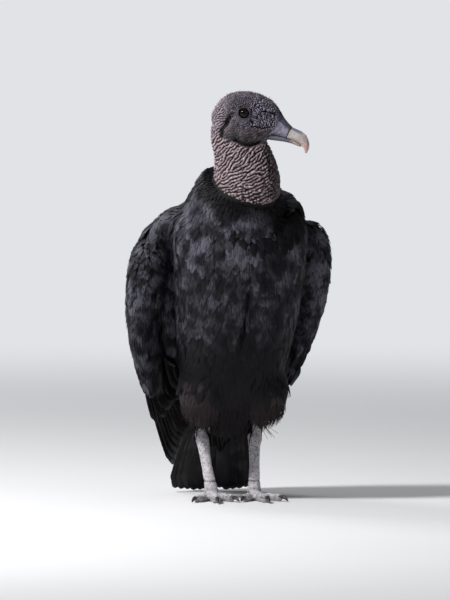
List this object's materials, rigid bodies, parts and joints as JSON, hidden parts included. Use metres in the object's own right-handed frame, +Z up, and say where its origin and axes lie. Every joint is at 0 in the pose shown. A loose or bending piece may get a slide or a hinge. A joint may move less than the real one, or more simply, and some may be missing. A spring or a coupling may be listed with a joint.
{
  "type": "black vulture model",
  "caption": "Life-size still model of a black vulture standing upright with its wings folded and its bare wrinkled head turned to its left.",
  "frame": {"origin": "on the floor, under the middle of the model's box", "axes": "+Z up; the bird's chest faces -Y and its left side is +X"},
  "size_m": [0.2618, 0.2902, 0.5142],
  "materials": {
    "plumage": "soft matt black contour feathers with a faint violet-grey bloom",
    "flight_feathers": "black flight feathers, smooth, with a soft sheen and darker shafts",
    "bare_skin": "bare grey skin, wrinkled, with dark creases",
    "cere": "smooth violet-grey skin over the base of the bill, finely lined",
    "bill_horn": "pale ivory horn, pinkish and then yellow at the tip, semi-gloss",
    "lower_bill": "dark blue-grey horn, semi-gloss",
    "leg_skin": "whitish scaly skin with dark specks",
    "claw": "dark horn, worn matt at the tips",
    "eye": "very dark brown eye with a wet gloss"
  },
  "bodies": {
    "root": {"trunk": "plumage", "thigh_right": "plumage", "thigh_left": "plumage", "wing_arm_right": "plumage", "wing_arm_left": "plumage", "wing_shoulder_right": "plumage", "wing_shoulder_left": "plumage", "tail": "flight_feathers", "wing_secondaries_right": "flight_feathers", "wing_secondaries_left": "flight_feathers", "wing_primaries_right": "flight_feathers", "wing_primaries_left": "flight_feathers", "head": "bare_skin", "neck": "bare_skin", "cere": "cere", "bill_upper": "bill_horn", "bill_lower": "lower_bill", "shank_right": "leg_skin", "shank_left": "leg_skin", "toe_middle_right": "leg_skin", "toe_inner_right": "leg_skin", "toe_outer_right": "leg_skin", "toe_hind_right": "leg_skin", "toe_middle_left": "leg_skin", "toe_inner_left": "leg_skin", "toe_outer_left": "leg_skin", "toe_hind_left": "leg_skin", "claw_middle_right": "claw", "claw_inner_right": "claw", "claw_outer_right": "claw", "claw_hind_right": "claw", "claw_middle_left": "claw", "claw_inner_left": "claw", "claw_outer_left": "claw", "claw_hind_left": "claw", "eye_right": "eye", "eye_left": "eye"}
  },
  "joints": []
}
